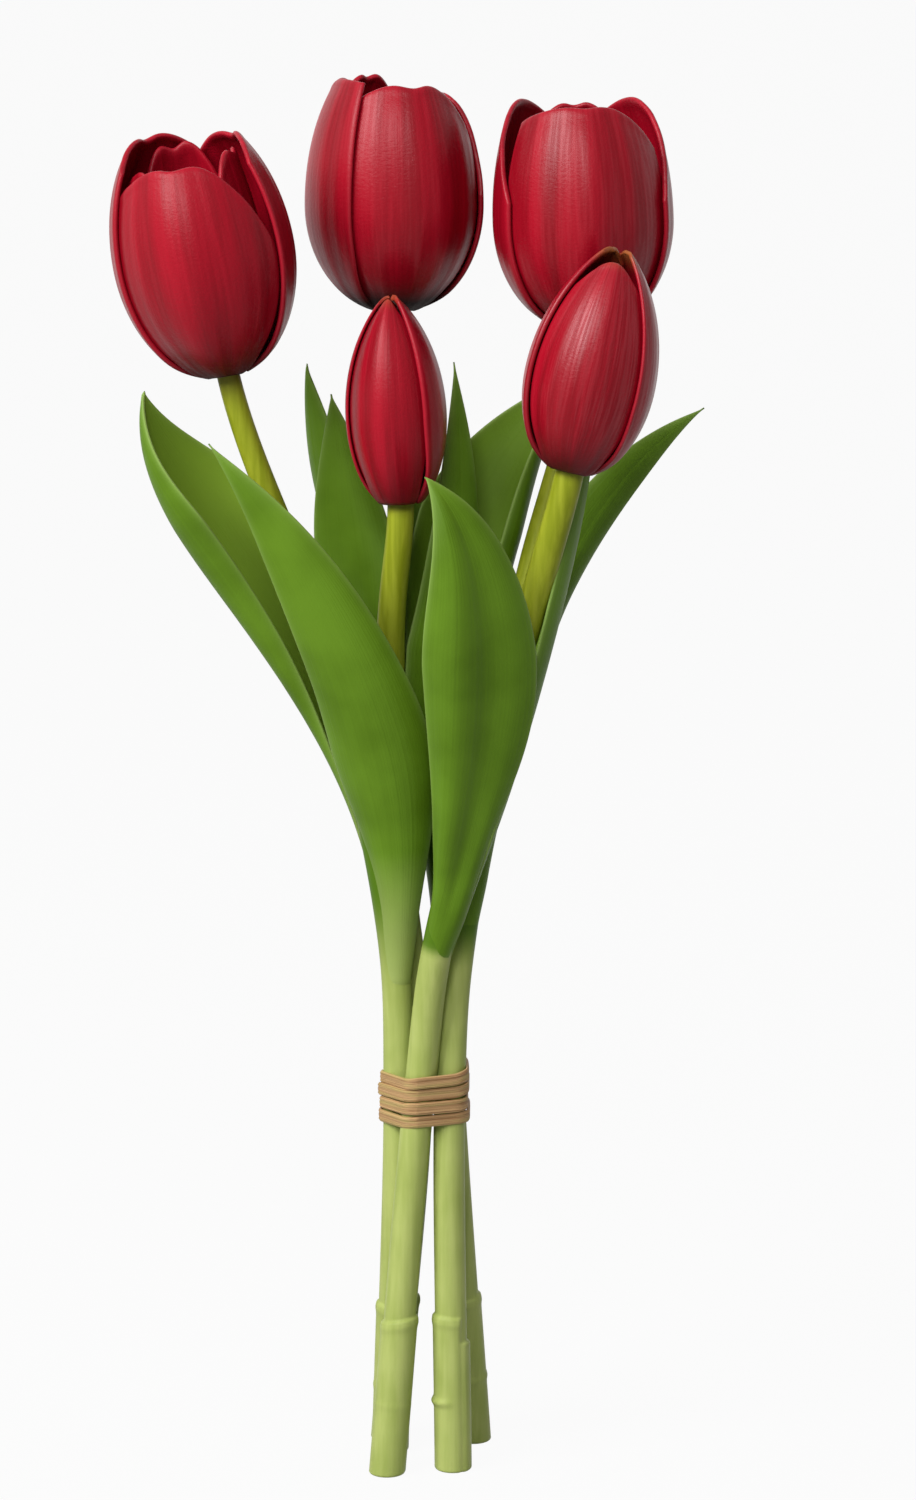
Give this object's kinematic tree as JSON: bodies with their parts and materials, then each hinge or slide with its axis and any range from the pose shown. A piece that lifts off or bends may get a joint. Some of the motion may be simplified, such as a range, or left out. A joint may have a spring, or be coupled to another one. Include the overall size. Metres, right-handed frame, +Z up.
{
  "type": "artificial tulip bunch",
  "caption": "Bunch of artificial tulips with open blooms and closed buds on leafy wired stems, tied at the waist with raffia and standing on its cut stem ends.",
  "frame": {"origin": "middle of the bunch's bounding box, on the plane of the cut stem ends", "axes": "+Z up along the stems; the flowers are arranged to be seen from -Y, with +X to the viewer's right"},
  "size_m": [0.1666, 0.105, 0.3991],
  "materials": {
    "petal_red": "soft satin moulded foam with fine lengthwise veins",
    "leaf_green": "satin moulded sheet with parallel veins and paler edges",
    "stem_green": "satin moulded tube, pale below and olive above",
    "core_brown": "plain moulded plug",
    "pistil_yellow": "matt moulded",
    "wire_steel": "drawn soft wire",
    "raffia_tan": "dry split palm fibre"
  },
  "bodies": {
    "bunch": {"left_stem": "stem_green", "left_stem_wire": "wire_steel", "left_stem_leaf_1": "leaf_green", "left_stem_leaf_2": "leaf_green", "back_stem": "stem_green", "back_stem_wire": "wire_steel", "back_stem_leaf_1": "leaf_green", "back_stem_leaf_2": "leaf_green", "right_stem": "stem_green", "right_stem_wire": "wire_steel", "right_stem_leaf_1": "leaf_green", "right_stem_leaf_2": "leaf_green", "front_stem": "stem_green", "front_stem_wire": "wire_steel", "front_stem_leaf_1": "leaf_green", "front_stem_leaf_2": "leaf_green", "side_stem": "stem_green", "side_stem_wire": "wire_steel", "side_stem_leaf_1": "leaf_green", "side_stem_leaf_2": "leaf_green", "raffia_wrap": "raffia_tan", "raffia_knot": "raffia_tan"},
    "left_bloom": {"left_bloom_outer_petal_1": "petal_red", "left_bloom_outer_petal_2": "petal_red", "left_bloom_outer_petal_3": "petal_red", "left_bloom_inner_petal_1": "petal_red", "left_bloom_inner_petal_2": "petal_red", "left_bloom_inner_petal_3": "petal_red", "left_bloom_core": "core_brown", "left_bloom_pistil": "pistil_yellow"},
    "back_bloom": {"back_bloom_outer_petal_1": "petal_red", "back_bloom_outer_petal_2": "petal_red", "back_bloom_outer_petal_3": "petal_red", "back_bloom_inner_petal_1": "petal_red", "back_bloom_inner_petal_2": "petal_red", "back_bloom_inner_petal_3": "petal_red", "back_bloom_core": "core_brown", "back_bloom_pistil": "pistil_yellow"},
    "right_bloom": {"right_bloom_outer_petal_1": "petal_red", "right_bloom_outer_petal_2": "petal_red", "right_bloom_outer_petal_3": "petal_red", "right_bloom_inner_petal_1": "petal_red", "right_bloom_inner_petal_2": "petal_red", "right_bloom_inner_petal_3": "petal_red", "right_bloom_core": "core_brown", "right_bloom_pistil": "pistil_yellow"},
    "front_bud": {"front_bud_petal_1": "petal_red", "front_bud_petal_2": "petal_red", "front_bud_petal_3": "petal_red", "front_bud_core": "core_brown"},
    "side_bud": {"side_bud_petal_1": "petal_red", "side_bud_petal_2": "petal_red", "side_bud_petal_3": "petal_red", "side_bud_core": "core_brown"}
  },
  "joints": [
    {"name": "left_bloom_nod", "type": "hinge", "parent": "bunch", "child": "left_bloom", "pos_m": [-0.05185, -0.0157, 0.32193], "axis": [0.1483, -0.9889, 0], "range_deg": [-5, 20]},
    {"name": "back_bloom_nod", "type": "hinge", "parent": "bunch", "child": "back_bloom", "pos_m": [-0.00532, 0.01842, 0.337], "axis": [-1, 0, 0], "range_deg": [-5, 20]},
    {"name": "right_bloom_nod", "type": "hinge", "parent": "bunch", "child": "right_bloom", "pos_m": [0.04914, 0.01034, 0.33299], "axis": [-0.6, 0.8, 0], "range_deg": [-5, 20]},
    {"name": "front_bud_nod", "type": "hinge", "parent": "bunch", "child": "front_bud", "pos_m": [-0.00307, -0.01559, 0.28499], "axis": [1, 0, 0], "range_deg": [-5, 20]},
    {"name": "side_bud_nod", "type": "hinge", "parent": "bunch", "child": "side_bud", "pos_m": [0.04472, -0.03359, 0.29593], "axis": [0.507, 0.8619, 0], "range_deg": [-5, 20]}
  ]
}
